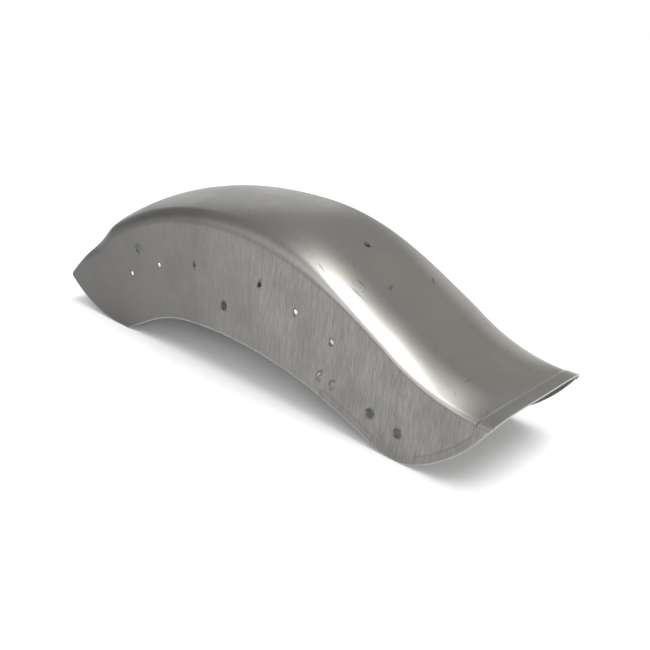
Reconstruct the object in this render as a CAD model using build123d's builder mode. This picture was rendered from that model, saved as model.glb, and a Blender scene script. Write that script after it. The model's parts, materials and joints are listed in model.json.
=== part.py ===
from build123d import *
from math import sin, cos, radians, degrees, hypot
import os

os.makedirs("parts", exist_ok=True)

# Sheet
sheet = 1.6                    # sheet thickness
width = 187.0                  # over the flat sides

# Crown path in side view, from the front end to the tail
path_top = (185.5, 174.4)      # highest point of the flat side, from the front foot
front_radius = 434.0
front_sweep = 53.0             # degrees ahead of the top
turn_angle = 18.0              # degrees behind the top where the rear radius begins
rear_radius = 525.0
rear_sweep = 12.5
tail_radius = 238.0            # reverse curve of the ducktail
tail_sweep = 39.0

# Crown across the width
crown_rise = 39.0
tail_rise = 12.0
neck_rise = 14.0
shoulder_radius = 23.2
tail_shoulder_radius = 5.8
neck_shoulder_radius = 10.0
saddle_start = 90.0            # along the path from its front end
saddle_length = 84.0
saddle_pinch = 9.0             # wider bend of the shoulder in the saddle
flat_start = 426.0             # along the path to where the crown starts to flatten
flat_length = 200.0
flat_crowding = 0.6            # how much closer the stations lie where the flattening begins
spans = 10                     # stations along the saddle, and along the flattening crown
seam_drop = 10.0               # crown path to the top of the flat skirts

# Side outline
front_tip = (-135.5, 41.5)
tip_radius = 6.0
toe = (-77.0, 0.0)
toe_radius = 190.0
foot_radius = 14.0
arch_start = (81.0, 42.8)
arch_blend = 200.0
rear_foot = 448.0
rear_foot_radius = 66.0
rear_foot_front = 23.0         # degrees of the rear foot arc ahead of its lowest point
rear_foot_back = 28.0
tail_corner = (548.6, 75.6)
tail_cut_angle = 60.0
front_cut_angle = 80.0

# Stepped lip
lip_width = 9.0                # along the skirts
tail_lip_width = 14.0          # across the tail
lip_step = 1.0
lip_start = 342.0
lip_overlap = 1.6              # sheet shared by the lip and the plain area

# Holes, from the front foot
strut_hole = 10.6
strut_points = [(23.1, 117.0), (187.8, 88.3), (413.1, 38.9), (449.2, 30.9)]
clip_hole = 6.2
clip_points = [(9.2, 80.0), (65.3, 106.5), (133.0, 124.4), (243.6, 130.4), (300.4, 115.1),
               (354.4, 98.0)]
seat_hole = 7.0
seat_run = 527.8               # along the path from its front end

# Sizes that follow from the ones above
saddle_end = saddle_start + saddle_length
flat_end = flat_start + flat_length
leg = 2 * seam_drop            # straight side below the crown path before trimming
cut_reach = 4 * (path_top[1] + crown_rise)  # passes right through the fender


def ease(value):
    value = min(1.0, max(0.0, value))
    return value * value * (3.0 - 2.0 * value)


def crown_at(run):
    flat = ease((run - flat_start) / flat_length)
    saddle = ease((run - saddle_start) / saddle_length)
    rise = crown_rise + (tail_rise - crown_rise) * flat
    radius = shoulder_radius + (tail_shoulder_radius - shoulder_radius) * flat
    rise = neck_rise + (rise - neck_rise) * saddle
    radius = neck_shoulder_radius + (radius - neck_shoulder_radius) * saddle
    drop = saddle_pinch * 4.0 * saddle * (1.0 - saddle)
    return rise, radius + drop, drop


def half_curve(run, inset):
    rise, radius, drop = crown_at(run)
    reach = width / 2 - radius
    height = rise + drop
    dome = (reach * reach + height * height - radius * radius) / (2 * (height - radius))
    centre = rise - dome
    slant = hypot(reach, centre + drop)
    tangent_x = reach / slant
    tangent_y = (-drop - centre) / slant
    half_x = 1.0 + tangent_x
    half_y = tangent_y
    half_size = hypot(half_x, half_y)
    bend = radius - inset
    foot = (width / 2 - inset, -leg)
    side_top = (width / 2 - inset, -drop)
    bend_mid = (reach + bend * half_x / half_size, -drop + bend * half_y / half_size)
    bend_end = (tangent_x * (dome - inset), centre + tangent_y * (dome - inset))
    top = (0.0, rise - inset)
    return foot, side_top, bend_mid, bend_end, top


def flip(point):
    return (-point[0], point[1])


def sheet_section(run, outset):
    spot = path.position_at(run, position_mode=PositionMode.LENGTH)
    way = path.tangent_at(run, position_mode=PositionMode.LENGTH)
    outer = half_curve(run, -outset)
    inner = half_curve(run, sheet - outset)
    with BuildSketch(Plane(origin=spot, x_dir=(0, 1, 0), z_dir=way), mode=Mode.PRIVATE) as section:
        with BuildLine():
            Line(flip(outer[0]), flip(outer[1]))
            ThreePointArc(flip(outer[1]), flip(outer[2]), flip(outer[3]))
            ThreePointArc(flip(outer[3]), outer[4], outer[3])
            ThreePointArc(outer[3], outer[2], outer[1])
            Line(outer[1], outer[0])
            Line(outer[0], inner[0])
            Line(inner[0], inner[1])
            ThreePointArc(inner[1], inner[2], inner[3])
            ThreePointArc(inner[3], inner[4], flip(inner[3]))
            ThreePointArc(flip(inner[3]), flip(inner[2]), flip(inner[1]))
            Line(flip(inner[1]), flip(inner[0]))
            Line(flip(inner[0]), flip(outer[0]))
        make_face()
    return section.sketch


def crown_line(drop):
    radius = front_radius - drop
    start_x = path_top[0] - radius * sin(radians(front_sweep))
    start_z = path_top[1] - drop - radius * (1 - cos(radians(front_sweep)))
    start_way = (cos(radians(front_sweep)), sin(radians(front_sweep)))
    front = JernArc((start_x, start_z), start_way, radius, -front_sweep - turn_angle)
    rear = JernArc(front @ 1, front % 1, rear_radius - drop, -rear_sweep)
    tail = JernArc(rear @ 1, rear % 1, tail_radius + drop, tail_sweep)
    return front, rear, tail


def turned_sheet(first, last, outset):
    begin = 0.0
    for arc, turn in zip(arcs, (1, 1, -1)):
        start = max(first, begin)
        begin += arc.length
        sweep = degrees((min(last, begin) - start) / arc.radius)
        if sweep > 0:
            centre = Axis(arc.arc_center, (0, turn, 0))
            revolve(sheet_section(start, outset), axis=centre, revolution_arc=sweep)


def stations(first, last, crowding):
    shares = [n / spans for n in range(spans + 1)]
    runs = [first + (last - first) * share * (1 - crowding + crowding * share) for share in shares]
    return [sheet_section(run, 0.0) for run in runs]


def plain_area(overlap):
    with BuildSketch(Plane.XZ, mode=Mode.PRIVATE) as area:
        add(outline.sketch)
        offset(amount=overlap - lip_width)
        with Locations(tail_corner):
            Rectangle(cut_reach, 2 * (tail_lip_width - overlap), rotation=tail_cut_angle, mode=Mode.SUBTRACT)
        with Locations((lip_start + overlap, 0)):
            Rectangle(cut_reach, cut_reach, align=(Align.MAX, Align.CENTER))
        add(outline.sketch, mode=Mode.INTERSECT)
    return area.sketch


def crown_piece(crown, area):
    return crown & extrude(area & crown_area.sketch, amount=width, both=True, mode=Mode.PRIVATE)


def skirt_plates(area, outset):
    outside = width / 2 + outset
    with BuildPart(mode=Mode.PRIVATE) as plates:
        extrude(area - crown_area.sketch, amount=outside, both=True)
        Box(2 * cut_reach, 2 * (outside - sheet), 2 * cut_reach, mode=Mode.SUBTRACT)
    return plates.part


# Crown path
with BuildLine(Plane.XZ) as crown_path:
    arcs = crown_line(0.0)
path = crown_path.wires()[0]

# Side view of everything above the seam between the crown and the skirts
with BuildSketch(Plane.XZ, mode=Mode.PRIVATE) as crown_area:
    with BuildLine():
        seam = crown_line(seam_drop)
        above = 2 * cut_reach
        Polyline(seam[2] @ 1, (above, above), (-above, above), seam[0] @ 0)
    make_face()

# Side outline
with BuildSketch(Plane.XZ, mode=Mode.PRIVATE) as outline:
    with BuildLine():
        under = JernArc((rear_foot, 0), (-1, 0), rear_foot_radius, -rear_foot_front)
        TangentArc(under @ 1, arch_start, tangent=under % 1)
        Polyline(arch_start, (0, 0), toe, front_tip)
        lean = PolarLine(front_tip, cut_reach, front_cut_angle)
        behind = JernArc((rear_foot, 0), (1, 0), rear_foot_radius, rear_foot_back)
        TangentArc(behind @ 1, tail_corner, tangent=behind % 1)
        cut = PolarLine(tail_corner, cut_reach, tail_cut_angle)
        Line(lean @ 1, cut @ 1)
    make_face()
    blends = [(arch_start, arch_blend), ((0, 0), foot_radius), (toe, toe_radius), (front_tip, tip_radius)]
    for corner, blend in blends:
        spot = Vector(corner[0], corner[1])
        fillet(outline.vertices().sort_by_distance(spot)[0], blend)

# Crown of the plain sheet, and of the lip at the tail
with BuildPart() as crown:
    turned_sheet(0.0, saddle_start, 0.0)
    loft(sections=stations(saddle_start, saddle_end, 0.0))
    turned_sheet(saddle_end, flat_start, 0.0)
    loft(sections=stations(flat_start, flat_end, flat_crowding), ruled=True)
    turned_sheet(flat_end, path.length, 0.0)
with BuildPart() as lip_crown:
    turned_sheet(flat_end, path.length, lip_step)

# Fender, standing with its front foot at the origin
with BuildPart() as pressing:
    plain = plain_area(lip_overlap)
    add(crown_piece(crown.part, plain))
    add(skirt_plates(plain, 0.0))
    band = outline.sketch - plain_area(0.0)
    add(crown_piece(lip_crown.part, band))
    add(skirt_plates(band, lip_step))
    with BuildSketch(Plane.XZ):
        with Locations(*strut_points):
            Circle(strut_hole / 2)
        with Locations(*clip_points):
            Circle(clip_hole / 2)
    extrude(amount=width, both=True, mode=Mode.SUBTRACT)
    seat_spot = path.position_at(seat_run, position_mode=PositionMode.LENGTH)
    seat_way = path.tangent_at(seat_run, position_mode=PositionMode.LENGTH)
    with BuildSketch(Plane(origin=seat_spot, x_dir=(0, 1, 0), z_dir=(-seat_way.Z, 0, seat_way.X))):
        Circle(seat_hole / 2)
    extrude(amount=cut_reach, mode=Mode.SUBTRACT)

# The same fender with its origin on the floor under the middle of its length
middle = pressing.part.bounding_box().center()
with BuildPart() as fender:
    with Locations((-middle.X, 0, 0)):
        add(pressing.part)
fender.part.label = "fender"
export_step(fender.part, "parts/fender.step")
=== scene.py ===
import bpy
import json
import math
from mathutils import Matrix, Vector


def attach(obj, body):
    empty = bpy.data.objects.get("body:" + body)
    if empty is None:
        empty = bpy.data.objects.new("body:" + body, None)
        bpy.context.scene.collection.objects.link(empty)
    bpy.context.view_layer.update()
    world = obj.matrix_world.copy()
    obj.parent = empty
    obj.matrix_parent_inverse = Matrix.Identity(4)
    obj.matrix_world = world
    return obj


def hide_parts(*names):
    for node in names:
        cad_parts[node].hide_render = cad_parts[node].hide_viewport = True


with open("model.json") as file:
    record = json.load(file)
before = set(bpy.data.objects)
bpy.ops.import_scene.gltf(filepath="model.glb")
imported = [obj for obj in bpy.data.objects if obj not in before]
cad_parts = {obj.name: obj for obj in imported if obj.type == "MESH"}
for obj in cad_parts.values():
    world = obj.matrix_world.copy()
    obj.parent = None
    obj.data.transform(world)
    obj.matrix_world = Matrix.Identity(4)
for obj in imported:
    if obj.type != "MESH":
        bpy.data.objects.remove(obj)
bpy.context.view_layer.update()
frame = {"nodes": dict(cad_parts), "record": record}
mm = 0.001

# the front foot is the zero of every length below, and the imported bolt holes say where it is
boltMounts = {mount["name"]: mount["pos_m"] for mount in frame["record"]["mounts"]}
boltMiddleFromFoot = 105.45 * mm
footX = boltMounts["frame_bolts"][0] - boltMiddleFromFoot
print("frame loaded, front foot at x", round(footX, 4))


def atFoot(x, z, y=0.0):
    return Vector((footX + x * mm, y * mm, z * mm))


# node helpers
def plug(tree, socket, value):
    if isinstance(value, bpy.types.NodeSocket):
        tree.links.new(value, socket)
    else:
        socket.default_value = value


def calc(tree, kind, first, second=None, third=None):
    node = tree.nodes.new("ShaderNodeMath")
    node.operation = kind
    for socket, value in zip(node.inputs, (first, second, third)):
        if value is not None:
            plug(tree, socket, value)
    return node.outputs[0]


def calcVector(tree, kind, first, second=None, scale=None):
    node = tree.nodes.new("ShaderNodeVectorMath")
    node.operation = kind
    plug(tree, node.inputs[0], first)
    if second is not None:
        plug(tree, node.inputs[1], second)
    if scale is not None:
        plug(tree, node.inputs["Scale"], scale)
    return node.outputs["Value"] if kind == "DOT_PRODUCT" else node.outputs["Vector"]


def mixed(tree, share, low, high):
    node = tree.nodes.new("ShaderNodeMix")
    plug(tree, node.inputs[0], share)
    plug(tree, node.inputs[2], low)
    plug(tree, node.inputs[3], high)
    return node.outputs[0]


def ramped(tree, value, fromLow, fromHigh, toLow, toHigh, kind="LINEAR"):
    node = tree.nodes.new("ShaderNodeMapRange")
    node.interpolation_type = kind
    for socket, given in zip(node.inputs, (value, fromLow, fromHigh, toLow, toHigh)):
        plug(tree, socket, given)
    return node.outputs[0]


def joined(tree, x, y, z):
    node = tree.nodes.new("ShaderNodeCombineXYZ")
    for socket, value in zip(node.inputs, (x, y, z)):
        plug(tree, socket, value)
    return node.outputs[0]


def split(tree, vector):
    node = tree.nodes.new("ShaderNodeSeparateXYZ")
    plug(tree, node.inputs[0], vector)
    return node.outputs


def newTree(name, sizes, objects=(), takesMesh=False):
    tree = bpy.data.node_groups.new(name, "GeometryNodeTree")
    if takesMesh:
        tree.interface.new_socket(name="Geometry", in_out="INPUT", socket_type="NodeSocketGeometry")
    for title, value in sizes.items():
        socket = tree.interface.new_socket(name=title, in_out="INPUT", socket_type="NodeSocketFloat")
        socket.default_value = value
    for title in objects:
        tree.interface.new_socket(name=title, in_out="INPUT", socket_type="NodeSocketObject")
    return tree, tree.nodes.new("NodeGroupInput")


def closeTree(tree, results):
    end = tree.nodes.new("NodeGroupOutput")
    for title, (socket, kind) in results.items():
        tree.interface.new_socket(name=title, in_out="OUTPUT", socket_type=kind)
        tree.links.new(socket, end.inputs[title])


def setInputs(modifier, values):
    for item in modifier.node_group.interface.items_tree:
        if item.in_out == "INPUT" and item.name in values:
            modifier[item.identifier] = values[item.name]


# cross-section of the sheet at one place along the crown path
sectionSet = {
    "Half Width": 93.5 * mm,
    "Crown Rise": 39.0 * mm,
    "Tail Rise": 12.0 * mm,
    "Neck Rise": 14.0 * mm,
    "Shoulder Radius": 23.2 * mm,
    "Tail Radius": 5.8 * mm,
    "Neck Radius": 10.0 * mm,
    "Saddle Start": 90.0 * mm,
    "Saddle Length": 84.0 * mm,
    "Saddle Pinch": 9.0 * mm,
    "Flat Start": 426.0 * mm,
    "Flat Length": 200.0 * mm,
    "Fullness": 3.4 * mm,        # most that the rear crown stands above a plain arc
    "Full Start": 370.0 * mm,
    "Full Length": 150.0 * mm,
}
domeRows, bendRows, skirtRows, lipRows = 20, 12, 14, 13  # rows of faces from the middle line to the edge
halfRows = domeRows + bendRows + skirtRows + lipRows
peakScale = 4.0                # brings share * (1 - share) up to 1 at its peak


def crossSectionTree():
    tree, given = newTree("fenderCrossSection", {"Run": 0.0, "Across": 0.0, **sectionSet})
    size = given.outputs
    flatEnd = calc(tree, "ADD", size["Flat Start"], size["Flat Length"])
    flat = ramped(tree, size["Run"], size["Flat Start"], flatEnd, 0.0, 1.0, "SMOOTHSTEP")
    saddleEnd = calc(tree, "ADD", size["Saddle Start"], size["Saddle Length"])
    saddle = ramped(tree, size["Run"], size["Saddle Start"], saddleEnd, 0.0, 1.0, "SMOOTHSTEP")
    rise = mixed(tree, flat, size["Crown Rise"], size["Tail Rise"])
    rise = mixed(tree, saddle, size["Neck Rise"], rise)
    radius = mixed(tree, flat, size["Shoulder Radius"], size["Tail Radius"])
    radius = mixed(tree, saddle, size["Neck Radius"], radius)
    bump = calc(tree, "MULTIPLY", saddle, calc(tree, "SUBTRACT", 1.0, saddle))
    drop = calc(tree, "MULTIPLY", size["Saddle Pinch"], calc(tree, "MULTIPLY", bump, peakScale))
    radius = calc(tree, "ADD", radius, drop)
    # the dome is an arc that runs into the two shoulder bends
    reach = calc(tree, "SUBTRACT", size["Half Width"], radius)
    height = calc(tree, "ADD", rise, drop)
    squares = calc(tree, "ADD", calc(tree, "MULTIPLY", reach, reach), calc(tree, "MULTIPLY", height, height))
    squares = calc(tree, "SUBTRACT", squares, calc(tree, "MULTIPLY", radius, radius))
    dome = calc(tree, "DIVIDE", squares, calc(tree, "MULTIPLY", 2.0, calc(tree, "SUBTRACT", height, radius)))
    centre = calc(tree, "SUBTRACT", rise, dome)
    meet = calc(tree, "ARCTAN2", reach, calc(tree, "MULTIPLY", calc(tree, "ADD", centre, drop), -1.0))
    domeShare = ramped(tree, size["Across"], 0.0, domeRows / halfRows, 0.0, 1.0)
    bendShare = ramped(tree, size["Across"], domeRows / halfRows, (domeRows + bendRows) / halfRows, 0.0, 1.0)
    domeAngle = calc(tree, "MULTIPLY", domeShare, meet)
    bendTurn = calc(tree, "MULTIPLY", bendShare, calc(tree, "SUBTRACT", math.pi / 2, meet))
    bendAngle = calc(tree, "ADD", meet, bendTurn)
    onBend = calc(tree, "GREATER_THAN", size["Across"], domeRows / halfRows)
    angle = mixed(tree, onBend, domeAngle, bendAngle)
    arm = mixed(tree, onBend, dome, radius)
    sideways = calc(tree, "MULTIPLY_ADD", arm, calc(tree, "SINE", angle), calc(tree, "MULTIPLY", reach, onBend))
    foot = mixed(tree, onBend, centre, calc(tree, "MULTIPLY", drop, -1.0))
    up = calc(tree, "MULTIPLY_ADD", arm, calc(tree, "COSINE", angle), foot)
    # the rear crown is fuller between its middle line and the shoulders
    fullEnd = calc(tree, "ADD", size["Full Start"], size["Full Length"])
    full = ramped(tree, size["Run"], size["Full Start"], fullEnd, 0.0, size["Fullness"], "SMOOTHSTEP")
    outward = calc(tree, "POWER", calc(tree, "DIVIDE", sideways, size["Half Width"]), 2.0)
    bulge = calc(tree, "MULTIPLY", outward, calc(tree, "SUBTRACT", 1.0, outward))
    up = calc(tree, "MULTIPLY_ADD", calc(tree, "MULTIPLY", bulge, peakScale), full, up)
    bendLeft = calc(tree, "MULTIPLY", radius, calc(tree, "SUBTRACT", math.pi / 2, bendAngle))
    domeLeft = calc(tree, "MULTIPLY", dome, calc(tree, "SUBTRACT", meet, domeAngle))
    closeTree(tree, {
        "Sideways": (sideways, "NodeSocketFloat"),
        "Up": (up, "NodeSocketFloat"),
        "Angle": (angle, "NodeSocketFloat"),
        "Drop": (drop, "NodeSocketFloat"),
        "Arc Left": (calc(tree, "ADD", bendLeft, domeLeft), "NodeSocketFloat"),
    })
    return tree


# the pressed sheet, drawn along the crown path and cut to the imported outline
sheetSet = {
    "Front Run": 47.3 * mm,      # along the path to where the front edge crosses it
    "Nose Lean": -0.14,          # the lower front edge moves ahead for each unit of height
    "Front Lean": 1.525,         # and the front cut above the tip sets back
    "Nose Height": 6.1 * mm,
    "Tail End Run": 782.6 * mm,
    "Tail Lean": 0.591,
    "Lip Width": 9.0 * mm,
    "Tail Lip Width": 16.3 * mm,
    "Lip Step": 1.0 * mm,
    "Lip Ramp": 2.2 * mm,
    "Lip Start": 342.0 * mm,
    "Lip Fade": 8.0 * mm,
    "Lip Zone": 13.0 * mm,       # closely spaced rows along the edge
    "Tail Zone": 24.0 * mm,
    "Ripple": 0.25 * mm,         # unevenness of the pressing
    "Ripple Length": 75.0 * mm,
}
pathSet = {
    "top": (185.5, 174.4),
    "arcs": [(434.0, -71.0), (525.0, -12.5), (238.0, 39.0)],   # radius, and turn in degrees
    "startTurn": 53.0,
    "step": 1.5,
}
sheetThickness = 1.6 * mm
rimRound, rimSegments, rimAngle = 0.35 * mm, 2, 60.0  # the bevel gets almost no width, so the rim is square
sharpAngle = 40.0
columns, tailShare = 300, 0.12
leastSkew, zoneShare = 0.35, 0.6  # keep the lip rows in order where the edge is steep or the skirt short
crownFade = 3.0                # how fast the crown's look gives way to the skirt's
rayReach = 0.4                 # below the path, lower than any edge
rayInset = 0.3 * mm            # inside both the plain sheet and the lip


def crownPath():
    heading = math.radians(pathSet["startTurn"])
    firstRadius = pathSet["arcs"][0][0]
    x = pathSet["top"][0] - firstRadius * math.sin(heading)
    z = pathSet["top"][1] - firstRadius * (1 - math.cos(heading))
    points = [atFoot(x, z)]
    for radius, turn in pathSet["arcs"]:
        steps = round(radius * math.radians(abs(turn)) / pathSet["step"])
        turnStep = math.radians(turn) / steps
        chord = 2 * radius * math.sin(abs(turnStep) / 2)
        for _ in range(steps):
            x += chord * math.cos(heading + turnStep / 2)
            z += chord * math.sin(heading + turnStep / 2)
            heading += turnStep
            points.append(atFoot(x, z))
    curve = bpy.data.curves.new("crownPath", "CURVE")
    curve.dimensions = "3D"
    line = curve.splines.new("POLY")
    line.points.add(len(points) - 1)
    for spot, place in zip(line.points, points):
        spot.co = (*place, 1.0)
    path = bpy.data.objects.new("crownPath", curve)
    bpy.context.collection.objects.link(path)
    return path


def sheetTree(section):
    tree, given = newTree("pressedSheet", sheetSet, ("Crown Path", "Packed Fender"))
    size = given.outputs
    grid = tree.nodes.new("GeometryNodeMeshGrid")
    grid.inputs["Vertices X"].default_value = columns + 1
    grid.inputs["Vertices Y"].default_value = 2 * halfRows + 1
    along, cross, _ = split(tree, grid.outputs["UV Map"])
    signed = calc(tree, "MULTIPLY_ADD", cross, 2.0, -1.0)
    across = calc(tree, "ABSOLUTE", signed)
    side = calc(tree, "SIGN", signed)

    def sectionAt(run):
        node = tree.nodes.new("GeometryNodeGroup")
        node.node_tree = section
        plug(tree, node.inputs["Run"], run)
        plug(tree, node.inputs["Across"], across)
        return node.outputs

    # columns run from the front edge to the tail edge, closer together at the tail
    frontUp = calc(tree, "MAXIMUM", sectionAt(size["Front Run"])["Up"], 0.0)
    tailUp = calc(tree, "MAXIMUM", sectionAt(size["Tail End Run"])["Up"], 0.0)
    noseUp = calc(tree, "MINIMUM", frontUp, size["Nose Height"])
    cutUp = calc(tree, "SUBTRACT", frontUp, noseUp)
    startRun = calc(tree, "MULTIPLY_ADD", noseUp, size["Nose Lean"], size["Front Run"])
    startRun = calc(tree, "MULTIPLY_ADD", cutUp, size["Front Lean"], startRun)
    endRun = calc(tree, "MULTIPLY_ADD", tailUp, size["Tail Lean"], size["Tail End Run"])
    mainEnd = calc(tree, "SUBTRACT", endRun, size["Tail Zone"])
    mainRun = ramped(tree, along, 0.0, 1 - tailShare, startRun, mainEnd)
    lastRun = ramped(tree, along, 1 - tailShare, 1.0, 0.0, size["Tail Zone"])
    run = calc(tree, "ADD", mainRun, lastRun)
    here = sectionAt(run)

    pathInfo = tree.nodes.new("GeometryNodeObjectInfo")
    plug(tree, pathInfo.inputs["Object"], size["Crown Path"])
    sample = tree.nodes.new("GeometryNodeSampleCurve")
    sample.mode = "LENGTH"
    plug(tree, sample.inputs["Curves"], pathInfo.outputs["Geometry"])
    plug(tree, sample.inputs["Length"], run)
    spot = sample.outputs["Position"]
    tangentX, _, tangentZ = split(tree, sample.outputs["Tangent"])
    upWay = joined(tree, calc(tree, "MULTIPLY", tangentZ, -1.0), 0.0, tangentX)

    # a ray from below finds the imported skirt's lower edge
    packed = tree.nodes.new("GeometryNodeObjectInfo")
    plug(tree, packed.inputs["Object"], size["Packed Fender"])
    inPlane = joined(tree, 0.0, rayInset - sectionSet["Half Width"], 0.0)
    rayStart = calcVector(tree, "ADD", calcVector(tree, "ADD", spot, inPlane),
                          calcVector(tree, "SCALE", upWay, scale=-rayReach))
    ray = tree.nodes.new("GeometryNodeRaycast")
    plug(tree, ray.inputs["Target Geometry"], packed.outputs["Geometry"])
    plug(tree, ray.inputs["Source Position"], rayStart)
    plug(tree, ray.inputs["Ray Direction"], upWay)
    ray.inputs["Ray Length"].default_value = rayReach
    below = calc(tree, "SUBTRACT", rayReach, ray.outputs["Hit Distance"])
    below = calc(tree, "SUBTRACT", calc(tree, "MULTIPLY", below, ray.outputs["Is Hit"]), here["Drop"])
    below = calc(tree, "MAXIMUM", below, 0.0)
    skew = calc(tree, "ABSOLUTE", calcVector(tree, "DOT_PRODUCT", ray.outputs["Hit Normal"], upWay))
    skew = calc(tree, "MAXIMUM", skew, leastSkew)

    # rows keep even distances to the edge in the lip zone
    zone = calc(tree, "DIVIDE", size["Lip Zone"], skew)
    zone = calc(tree, "MINIMUM", zone, calc(tree, "MULTIPLY", below, zoneShare))
    zoneStart = 1 - lipRows / halfRows
    skirtStart = zoneStart - skirtRows / halfRows
    plainDrop = ramped(tree, across, skirtStart, zoneStart, 0.0, calc(tree, "SUBTRACT", below, zone))
    zoneDrop = ramped(tree, across, zoneStart, 1.0, 0.0, zone)
    skirtDrop = calc(tree, "ADD", plainDrop, zoneDrop)
    edgeGap = calc(tree, "MULTIPLY_ADD", calc(tree, "SUBTRACT", below, skirtDrop), skew, here["Arc Left"])
    tailGap = calc(tree, "SUBTRACT", endRun, run)
    frontGap = calc(tree, "SUBTRACT", run, startRun)

    # stepped lip along the rear of the skirts and across the tail
    halfRamp = calc(tree, "MULTIPLY", size["Lip Ramp"], 0.5)

    def lipShare(gap, width):
        inner = calc(tree, "ADD", width, halfRamp)
        outer = calc(tree, "SUBTRACT", width, halfRamp)
        return ramped(tree, gap, outer, inner, 1.0, 0.0, "SMOOTHSTEP")

    lowSpot = calcVector(tree, "SUBTRACT", spot, calcVector(tree, "SCALE", upWay, scale=skirtDrop))
    spotX = calc(tree, "SUBTRACT", split(tree, lowSpot)[0], footX)
    fadeEnd = calc(tree, "ADD", size["Lip Start"], size["Lip Fade"])
    fade = ramped(tree, spotX, size["Lip Start"], fadeEnd, 0.0, 1.0, "SMOOTHSTEP")
    skirtLip = calc(tree, "MULTIPLY", lipShare(edgeGap, size["Lip Width"]), fade)
    lip = calc(tree, "MAXIMUM", skirtLip, lipShare(tailGap, size["Tail Lip Width"]))

    # flat place of each point, then the outward push of the lip and of the uneven sheet
    sine = calc(tree, "SINE", here["Angle"])
    cosine = calc(tree, "COSINE", here["Angle"])
    plainUp = calc(tree, "SUBTRACT", here["Up"], skirtDrop)
    flatPlace = calcVector(tree, "ADD", spot, calcVector(tree, "SCALE", upWay, scale=plainUp))
    reachOut = joined(tree, 0.0, calc(tree, "MULTIPLY", side, here["Sideways"]), 0.0)
    flatPlace = calcVector(tree, "ADD", flatPlace, reachOut)
    noise = tree.nodes.new("ShaderNodeTexNoise")
    noise.noise_dimensions = "3D"
    noise.inputs["Detail"].default_value = 1.0
    plug(tree, noise.inputs["Vector"], flatPlace)
    plug(tree, noise.inputs["Scale"], calc(tree, "DIVIDE", 1.0, size["Ripple Length"]))
    ripple = calc(tree, "MULTIPLY", calc(tree, "SUBTRACT", noise.outputs[0], 0.5), size["Ripple"])
    push = calc(tree, "MULTIPLY_ADD", lip, size["Lip Step"], ripple)
    pushSide = joined(tree, 0.0, calc(tree, "MULTIPLY", side, calc(tree, "MULTIPLY", push, sine)), 0.0)
    pushUp = calcVector(tree, "SCALE", upWay, scale=calc(tree, "MULTIPLY", push, cosine))
    place = calcVector(tree, "ADD", flatPlace, calcVector(tree, "ADD", pushSide, pushUp))

    move = tree.nodes.new("GeometryNodeSetPosition")
    plug(tree, move.inputs["Geometry"], grid.outputs["Mesh"])
    plug(tree, move.inputs["Position"], place)
    shape = move.outputs["Geometry"]
    rimGap = calc(tree, "MINIMUM", calc(tree, "MINIMUM", edgeGap, tailGap), frontGap)
    crownShare = calc(tree, "SUBTRACT", 1.0, calc(tree, "POWER", sine, crownFade))
    for title, value in (("run", run), ("rimGap", rimGap), ("crown", crownShare), ("lip", lip)):
        keep = tree.nodes.new("GeometryNodeStoreNamedAttribute")
        keep.data_type = "FLOAT"
        keep.inputs["Name"].default_value = title
        plug(tree, keep.inputs["Geometry"], shape)
        plug(tree, keep.inputs["Value"], value)
        shape = keep.outputs["Geometry"]
    closeTree(tree, {"Geometry": (shape, "NodeSocketGeometry")})
    return tree


# holes and punch marks
holeSet = {
    "boltHole": 10.6,
    "boltPoints": [(23.1, 117.0), (187.8, 88.3), (413.1, 38.9), (449.2, 30.9)],
    "clipHole": 6.2,
    "clipPoints": [(9.2, 80.0), (65.3, 106.5), (133.0, 124.4), (243.6, 130.4), (300.4, 115.1), (354.4, 98.0)],
    "seatHole": 7.0,
    "seatPlace": (317.3, 180.2),   # on the crown's middle line
    "seatTilt": 16.7,              # degrees that the hole leans to the tail
    "seatSquash": 0.85,            # its width over its length
    "seatDepth": 30.0,
    "markPoints": [(343.1, 55.0), (361.2, 51.2)],
    "markRadius": 4.4,
    "markGroove": 0.45,
    "markSweep": 230.0,
    "markStart": 65.0,
    "holeSides": 48,
    "markSteps": 40,
    "grooveSides": 12,
}


def pointGuide(name, rows):
    mesh = bpy.data.meshes.new(name)
    mesh.from_pydata([row[0] for row in rows], [], [])
    for title, index in (("turn", 1), ("stretch", 2)):
        values = mesh.attributes.new(title, "FLOAT_VECTOR", "POINT")
        values.data.foreach_set("vector", [number for row in rows for number in row[index]])
    guide = bpy.data.objects.new(name, mesh)
    bpy.context.collection.objects.link(guide)
    return guide


def holeGuide():
    sideways = (math.pi / 2, 0.0, 0.0)
    through = 4 * sectionSet["Half Width"]
    rows = []
    for kind in ("bolt", "clip"):
        radius = holeSet[kind + "Hole"] / 2 * mm
        rows += [(atFoot(x, z), sideways, (radius, radius, through)) for x, z in holeSet[kind + "Points"]]
    radius = holeSet["seatHole"] / 2 * mm
    tilt = (0.0, math.radians(holeSet["seatTilt"]), 0.0)
    stretch = (radius, radius * holeSet["seatSquash"], holeSet["seatDepth"] * mm)
    rows.append((atFoot(*holeSet["seatPlace"]), tilt, stretch))
    return pointGuide("holeGuide", rows)


def markGuide():
    near = -sectionSet["Half Width"] / mm
    rows = [(atFoot(x, z, near), (math.pi / 2, 0.0, 0.0), (mm, mm, mm)) for x, z in holeSet["markPoints"]]
    return pointGuide("markGuide", rows)


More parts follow.
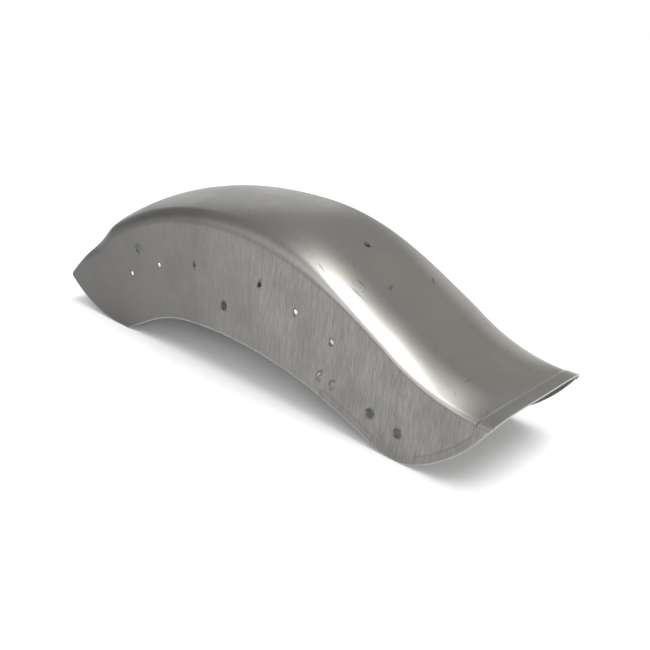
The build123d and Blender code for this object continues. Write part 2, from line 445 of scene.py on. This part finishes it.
def punchTree(material):
    sizes = {
        "Mark Radius": holeSet["markRadius"],
        "Mark Groove": holeSet["markGroove"],
        "Mark Start": math.radians(holeSet["markStart"]),
        "Mark Sweep": math.radians(holeSet["markSweep"]),
    }
    tree, group = newTree("punchedHoles", sizes, ("Hole Guide", "Mark Guide"), takesMesh=True)
    given = group.outputs

    def attribute(title):
        node = tree.nodes.new("GeometryNodeInputNamedAttribute")
        node.data_type = "FLOAT_VECTOR"
        node.inputs["Name"].default_value = title
        return node.outputs["Attribute"]

    def copies(guide, cutter):
        info = tree.nodes.new("GeometryNodeObjectInfo")
        plug(tree, info.inputs["Object"], given[guide])
        place = tree.nodes.new("GeometryNodeInstanceOnPoints")
        plug(tree, place.inputs["Points"], info.outputs["Geometry"])
        plug(tree, place.inputs["Instance"], cutter)
        plug(tree, place.inputs["Rotation"], attribute("turn"))
        plug(tree, place.inputs["Scale"], attribute("stretch"))
        real = tree.nodes.new("GeometryNodeRealizeInstances")
        plug(tree, real.inputs["Geometry"], place.outputs["Instances"])
        return real.outputs["Geometry"]

    drill = tree.nodes.new("GeometryNodeMeshCylinder")
    drill.inputs["Vertices"].default_value = holeSet["holeSides"]
    drill.inputs["Radius"].default_value = 1.0
    drill.inputs["Depth"].default_value = 1.0
    moon = tree.nodes.new("GeometryNodeCurveArc")
    moon.inputs["Resolution"].default_value = holeSet["markSteps"]
    plug(tree, moon.inputs["Radius"], given["Mark Radius"])
    plug(tree, moon.inputs["Start Angle"], given["Mark Start"])
    plug(tree, moon.inputs["Sweep Angle"], given["Mark Sweep"])
    ring = tree.nodes.new("GeometryNodeCurvePrimitiveCircle")
    ring.inputs["Resolution"].default_value = holeSet["grooveSides"]
    plug(tree, ring.inputs["Radius"], given["Mark Groove"])
    groove = tree.nodes.new("GeometryNodeCurveToMesh")
    groove.inputs["Fill Caps"].default_value = True
    plug(tree, groove.inputs["Curve"], moon.outputs["Curve"])
    plug(tree, groove.inputs["Profile Curve"], ring.outputs["Curve"])

    cut = tree.nodes.new("GeometryNodeMeshBoolean")
    cut.operation = "DIFFERENCE"
    cut.solver = "EXACT"
    plug(tree, cut.inputs["Mesh 1"], given["Geometry"])
    tree.links.new(copies("Hole Guide", drill.outputs["Mesh"]), cut.inputs["Mesh 2"])
    tree.links.new(copies("Mark Guide", groove.outputs["Mesh"]), cut.inputs["Mesh 2"])
    real = tree.nodes.new("GeometryNodeRealizeInstances")
    plug(tree, real.inputs["Geometry"], cut.outputs["Mesh"])
    paint = tree.nodes.new("GeometryNodeSetMaterial")
    plug(tree, paint.inputs["Geometry"], real.outputs["Geometry"])
    paint.inputs["Material"].default_value = material
    closeTree(tree, {"Geometry": (paint.outputs["Geometry"], "NodeSocketGeometry")})
    return tree


def makeFender(material):
    path, holes, marks = crownPath(), holeGuide(), markGuide()
    blank = bpy.data.objects.new("fenderBlank", bpy.data.meshes.new("fenderBlank"))
    bpy.context.collection.objects.link(blank)
    press = blank.modifiers.new("press", "NODES")
    press.node_group = sheetTree(crossSectionTree())
    setInputs(press, {**sheetSet, "Crown Path": path, "Packed Fender": frame["nodes"]["fender"]})
    wall = blank.modifiers.new("wall", "SOLIDIFY")
    wall.thickness = sheetThickness
    wall.offset = -1.0
    rim = blank.modifiers.new("rim", "BEVEL")
    rim.width = rimRound
    rim.segments = rimSegments
    rim.angle_limit = math.radians(rimAngle)
    punch = blank.modifiers.new("punch", "NODES")
    punch.node_group = punchTree(material)
    setInputs(punch, {"Hole Guide": holes, "Mark Guide": marks})
    depsgraph = bpy.context.evaluated_depsgraph_get()
    mesh = bpy.data.meshes.new_from_object(blank.evaluated_get(depsgraph), depsgraph=depsgraph)
    for spare in (blank, path, holes, marks):
        bpy.data.objects.remove(spare)
    mesh.shade_smooth()
    mesh.set_sharp_from_angle(angle=math.radians(sharpAngle))
    fender = bpy.data.objects.new("steelFender", mesh)
    bpy.context.collection.objects.link(fender)
    print("fender made, faces", len(mesh.polygons))
    return fender


# bare steel
steelSet = {
    "plain": (0.188, 0.183, 0.176, 1.0),
    "worn": (0.335, 0.327, 0.315, 1.0),
    # dull: dark tone of the random clouds, also painted shade towards the front
    "dullAndShade": (0.124, 0.122, 0.118, 1.0),
    "warm": (0.32, 0.306, 0.256, 1.0),       # faint straw tint of the stretched crown
    "satin": (0.315, 0.309, 0.293, 1.0),     # smoother metal of the crown
    "highlightTone": (0.66, 0.645, 0.60, 1.0),    # painted highlight along the rear shoulders
    "sootAndShade": (0.05, 0.048, 0.045, 1.0),
    # soot: dark tone of specks and scratches, also painted shade on the front shoulder bends and in the step of
    # the lip
    "rim": (0.50, 0.49, 0.475, 1.0),
    # rim: painted highlight along the cut rims
    "crownRoughness": 0.32,
    "skirtRoughness": 0.46,
    "brushRoughness": 0.12,                  # how far the brush marks change it
    "cloudRoughness": 0.08,
    "bumpHeight": 0.06 * mm,
    "bumpStrength": 0.35,
    "dirtAndShadeDepth": 0.6,                        # of the bump's height
    # sizes of the marks, and the noise levels where they begin and are full
    "brushWidth": 0.8 * mm,
    "brushLength": 16.0 * mm,
    "brushReach": 40.0 * mm,                 # how slowly the marks change across the width
    "brushShares": (0.85, 0.15),             # fine and broad marks
    "brushBand": (0.33, 0.67),
    "grainLength": 1.6 * mm,
    "grainBand": (0.3, 0.7),
    "cloudLength": 60.0 * mm,
    "cloudBand": (0.3, 0.7),
    "speckLength": 2.2 * mm,
    "speckBand": (0.73, 0.80),
    "scratchLengths": (0.5 * mm, 30 * mm, 26 * mm),
    "crossLengths": (0.6 * mm, 30 * mm, 40 * mm),
    "crossTurn": 62.0,                       # degrees between the two sets of scratches
    "scratchBand": (0.72, 0.78),
    # start and end of each fade along the crown path
    "frontRun": (60 * mm, 610 * mm),
    "shadeRun": (260 * mm, 470 * mm),
    "strawRun": (380 * mm, 640 * mm),
    # the painted highlight on the rear shoulders fades in and out along these
    "highlightIn": (470 * mm, 590 * mm),
    "highlightOut": (730 * mm, 775 * mm),
    "tailRun": (700 * mm, 760 * mm),
    "stepRun": (700 * mm, 770 * mm),
    "highlightAcross": (40 * mm, 84 * mm),      # from the middle line
    "rimReach": (0.3 * mm, 1.6 * mm),        # in from the rim
    # fades over the shoulder bend, which is 0 at the skirt and 1 on the crown
    "shadeRise": (0.05, 0.3),
    "shadeFall": (0.75, 0.99),
    "highlightRise": (0.15, 0.5),
    "creaseRise": (0.0, 0.04),
    "creaseFall": (0.06, 0.22),
    # how much of each tone shows
    "satinShare": 0.8,
    "cloudShare": 0.35,
    "frontShare": 0.95,
    "frontCrown": 0.55,                      # part of it that reaches the crown
    "shadeShare": 0.4,
    "tailShare": 0.15,
    "strawShare": 0.8,
    "highlightShare": 0.9,
    "speckShare": 0.6,
    "scratchShare": 0.55,
    "creaseShare": 0.5,
    "stepShares": (0.9, 0.45),               # along the skirts and across the tail
    "rimShare": 0.7,
}


def attributeOf(tree, title):
    node = tree.nodes.new("ShaderNodeAttribute")
    node.attribute_name = title
    return node.outputs["Fac"]


def noiseAt(tree, place, lengths, detail=2.0, rough=0.5):
    node = tree.nodes.new("ShaderNodeTexNoise")
    stretch = calcVector(tree, "DIVIDE", place, lengths)
    plug(tree, node.inputs["Vector"], stretch)
    node.inputs["Scale"].default_value = 1.0
    node.inputs["Detail"].default_value = detail
    node.inputs["Roughness"].default_value = rough
    return node.outputs[0]


def tint(tree, share, low, high):
    node = tree.nodes.new("ShaderNodeMix")
    node.data_type = "RGBA"
    plug(tree, node.inputs[0], share)
    plug(tree, node.inputs[6], low)
    plug(tree, node.inputs[7], high)
    return node.outputs[2]


def rawSteel():
    material = bpy.data.materials.new("rawSteel")
    material.use_nodes = True
    tree = material.node_tree
    shader = tree.nodes["Principled BSDF"]
    place = tree.nodes.new("ShaderNodeTexCoord").outputs["Object"]
    run, crown = attributeOf(tree, "run"), attributeOf(tree, "crown")
    rimGap, lip = attributeOf(tree, "rimGap"), attributeOf(tree, "lip")

    # brush marks run down the skirts and fade out over the crown
    width, length, reach = steelSet["brushWidth"], steelSet["brushLength"], steelSet["brushReach"]
    fineShare, broadShare = steelSet["brushShares"]
    fine = noiseAt(tree, place, (width, reach, length), 3.0, 0.6)
    broad = noiseAt(tree, place, (5 * width, reach, 2.5 * length), 2.0)
    brush = calc(tree, "ADD", calc(tree, "MULTIPLY", fine, fineShare), calc(tree, "MULTIPLY", broad, broadShare))
    brush = ramped(tree, brush, *steelSet["brushBand"], 0.0, 1.0)
    grain = noiseAt(tree, place, (steelSet["grainLength"],) * 3, 2.0, 0.65)
    grainBand = steelSet["grainBand"]
    brush = mixed(tree, crown, brush, ramped(tree, grain, *grainBand, *grainBand))
    cloud = noiseAt(tree, place, (steelSet["cloudLength"],) * 3, 3.0, 0.55)
    cloud = ramped(tree, cloud, *steelSet["cloudBand"], 0.0, 1.0)

    # tone of the metal: darker to the front as painted shade, darker on the tail lip, straw coloured to the tail
    colour = tint(tree, brush, steelSet["plain"], steelSet["worn"])
    colour = tint(tree, calc(tree, "MULTIPLY", crown, steelSet["satinShare"]), colour, steelSet["satin"])
    colour = tint(tree, calc(tree, "MULTIPLY", cloud, steelSet["cloudShare"]), colour, steelSet["dullAndShade"])
    # painted shade: darker towards the front, less of it on the crown
    front = ramped(tree, run, *steelSet["frontRun"], steelSet["frontShare"], 0.0, "SMOOTHSTEP")
    front = calc(tree, "MULTIPLY", front, mixed(tree, crown, 1.0, steelSet["frontCrown"]))
    colour = tint(tree, front, colour, steelSet["dullAndShade"])
    # painted shade: darker shoulder bends at the front
    shade = ramped(tree, run, *steelSet["shadeRun"], steelSet["shadeShare"], 0.0, "SMOOTHSTEP")
    shadeRise = ramped(tree, crown, *steelSet["shadeRise"], 0.0, 1.0)
    shadeFall = ramped(tree, crown, *steelSet["shadeFall"], 1.0, 0.0)
    shade = calc(tree, "MULTIPLY", calc(tree, "MULTIPLY", shadeRise, shadeFall), shade)
    colour = tint(tree, shade, colour, steelSet["sootAndShade"])
    tail = ramped(tree, run, *steelSet["tailRun"], 0.0, steelSet["tailShare"])
    colour = tint(tree, calc(tree, "MULTIPLY", lip, tail), colour, steelSet["dullAndShade"])
    straw = ramped(tree, run, *steelSet["strawRun"], 0.0, steelSet["strawShare"])
    straw = calc(tree, "MULTIPLY", calc(tree, "MULTIPLY", straw, crown), cloud)
    colour = tint(tree, straw, colour, steelSet["warm"])

    # painted highlight: a brighter strip along the rear shoulders
    sideways = calc(tree, "ABSOLUTE", split(tree, place)[1])
    paintedHighlight = ramped(tree, sideways, *steelSet["highlightAcross"], 0.0, steelSet["highlightShare"], "SMOOTHSTEP")
    fadeIn = ramped(tree, run, *steelSet["highlightIn"], 0.0, 1.0, "SMOOTHSTEP")
    fadeOut = ramped(tree, run, *steelSet["highlightOut"], 1.0, 0.0, "SMOOTHSTEP")
    for fade in (fadeIn, fadeOut, ramped(tree, crown, *steelSet["highlightRise"], 0.0, 1.0)):
        paintedHighlight = calc(tree, "MULTIPLY", paintedHighlight, fade)
    colour = tint(tree, paintedHighlight, colour, steelSet["highlightTone"])

    # specks, a few long scratches, painted shade in the step of the lip and a dark line under the shoulders
    speck = noiseAt(tree, place, (steelSet["speckLength"],) * 3, 1.0)
    speck = ramped(tree, speck, *steelSet["speckBand"], 0.0, steelSet["speckShare"])
    turned = tree.nodes.new("ShaderNodeVectorRotate")
    turned.rotation_type = "Y_AXIS"
    plug(tree, turned.inputs["Vector"], place)
    turned.inputs["Angle"].default_value = math.radians(steelSet["crossTurn"])
    scratch = noiseAt(tree, place, steelSet["scratchLengths"], 1.0)
    cross = noiseAt(tree, turned.outputs["Vector"], steelSet["crossLengths"], 1.0)
    scratch = calc(tree, "MAXIMUM", scratch, cross)
    scratch = ramped(tree, scratch, *steelSet["scratchBand"], 0.0, steelSet["scratchShare"])
    # painted shade in the step of the lip
    step = calc(tree, "MULTIPLY", lip, calc(tree, "SUBTRACT", 1.0, lip))
    step = calc(tree, "MULTIPLY", step, ramped(tree, run, *steelSet["stepRun"], *steelSet["stepShares"]))
    creaseRise = ramped(tree, crown, *steelSet["creaseRise"], 0.0, 1.0)
    creaseFall = ramped(tree, crown, *steelSet["creaseFall"], steelSet["creaseShare"], 0.0)
    crease = calc(tree, "MULTIPLY", calc(tree, "MULTIPLY", creaseRise, creaseFall), grain)
    dirtAndShade = speck
    for mark in (scratch, step, crease):
        dirtAndShade = calc(tree, "MAXIMUM", dirtAndShade, mark)
    colour = tint(tree, dirtAndShade, colour, steelSet["sootAndShade"])
    # painted highlight: a lighter band along the cut rims
    rim = ramped(tree, rimGap, *steelSet["rimReach"], steelSet["rimShare"], 0.0)
    colour = tint(tree, rim, colour, steelSet["rim"])

    # brush marks and clouds change the shine, and the dirt and painted shade sit lower than the metal
    rough = mixed(tree, crown, steelSet["skirtRoughness"], steelSet["crownRoughness"])
    for marks, most in ((brush, steelSet["brushRoughness"]), (cloud, steelSet["cloudRoughness"])):
        rough = calc(tree, "ADD", rough, calc(tree, "MULTIPLY", calc(tree, "SUBTRACT", marks, 0.5), most))
    bump = tree.nodes.new("ShaderNodeBump")
    bump.inputs["Strength"].default_value = steelSet["bumpStrength"]
    bump.inputs["Distance"].default_value = steelSet["bumpHeight"]
    sunk = calc(tree, "MULTIPLY", dirtAndShade, steelSet["dirtAndShadeDepth"])
    plug(tree, bump.inputs["Height"], calc(tree, "SUBTRACT", brush, sunk))
    plug(tree, shader.inputs["Base Color"], colour)
    shader.inputs["Metallic"].default_value = 1.0
    plug(tree, shader.inputs["Roughness"], rough)
    plug(tree, shader.inputs["Normal"], bump.outputs["Normal"])
    return material


steel = rawSteel()
fender = makeFender(steel)
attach(fender, "root")
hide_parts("fender")

# floor, light and camera
stageSet = {
    "floor": (0.92, 0.92, 0.92, 1.0),
    "floorHalf": 40.0,
    "floorRoughness": 0.9,
    "floorShine": 0.1,
    "lens": 43.23,
    "spot": (825.5, 405.1, -683.2),      # from the front foot, in the photo's view
    "turn": (68.995, -5.009, 41.189),
    "fill": 0.56,                        # even light from all round
    "lamps": {                           # elevation, bearing from +X, spread in degrees, and strength
        "ceilingNear": (68, 295, 34, 0.65),
        "ceilingTail": (74, 355, 34, 0.95),
        "ceilingFar": (68, 38, 36, 0.7),
        "windowRear": (15, 322, 30, 2.0),
        "windowFront": (16, 238, 36, 0.35),
        "farWall": (22, 140, 40, 0.21),
    },
}


def whiteFloor():
    material = bpy.data.materials.new("whiteFloor")
    material.use_nodes = True
    shader = material.node_tree.nodes["Principled BSDF"]
    shader.inputs["Base Color"].default_value = stageSet["floor"]
    shader.inputs["Roughness"].default_value = stageSet["floorRoughness"]
    shader.inputs["Specular IOR Level"].default_value = stageSet["floorShine"]
    mesh = bpy.data.meshes.new("studioFloor")
    half = stageSet["floorHalf"]
    corners = [(-half, -half, 0), (half, -half, 0), (half, half, 0), (-half, half, 0)]
    mesh.from_pydata(corners, [], [(0, 1, 2, 3)])
    mesh.materials.append(material)
    floor = bpy.data.objects.new("studioFloor", mesh)
    bpy.context.collection.objects.link(floor)


def studioLight():
    for title, (elevation, bearing, spread, strength) in stageSet["lamps"].items():
        data = bpy.data.lights.new(title, "SUN")
        data.energy = strength
        data.angle = math.radians(spread)
        lamp = bpy.data.objects.new(title, data)
        lamp.rotation_euler = (0.0, math.radians(90 - elevation), math.radians(bearing))
        bpy.context.collection.objects.link(lamp)
    world = bpy.data.worlds.new("studioWorld")
    world.use_nodes = True
    tree = world.node_tree
    sky = tree.nodes["Background"]
    sky.inputs["Color"].default_value = (1, 1, 1, 1)
    seen = tree.nodes.new("ShaderNodeLightPath").outputs["Is Camera Ray"]
    plug(tree, sky.inputs["Strength"], mixed(tree, seen, stageSet["fill"], 1.0))
    bpy.context.scene.world = world


def photoCamera():
    data = bpy.data.cameras.new("photoCamera")
    data.lens = stageSet["lens"]
    camera = bpy.data.objects.new("photoCamera", data)
    camera.location = atFoot(*stageSet["spot"])
    camera.rotation_euler = [math.radians(angle) for angle in stageSet["turn"]]
    bpy.context.collection.objects.link(camera)
    bpy.context.scene.camera = camera


whiteFloor()
studioLight()
photoCamera()
bpy.context.scene.view_settings.view_transform = "Standard"
print("stage set")
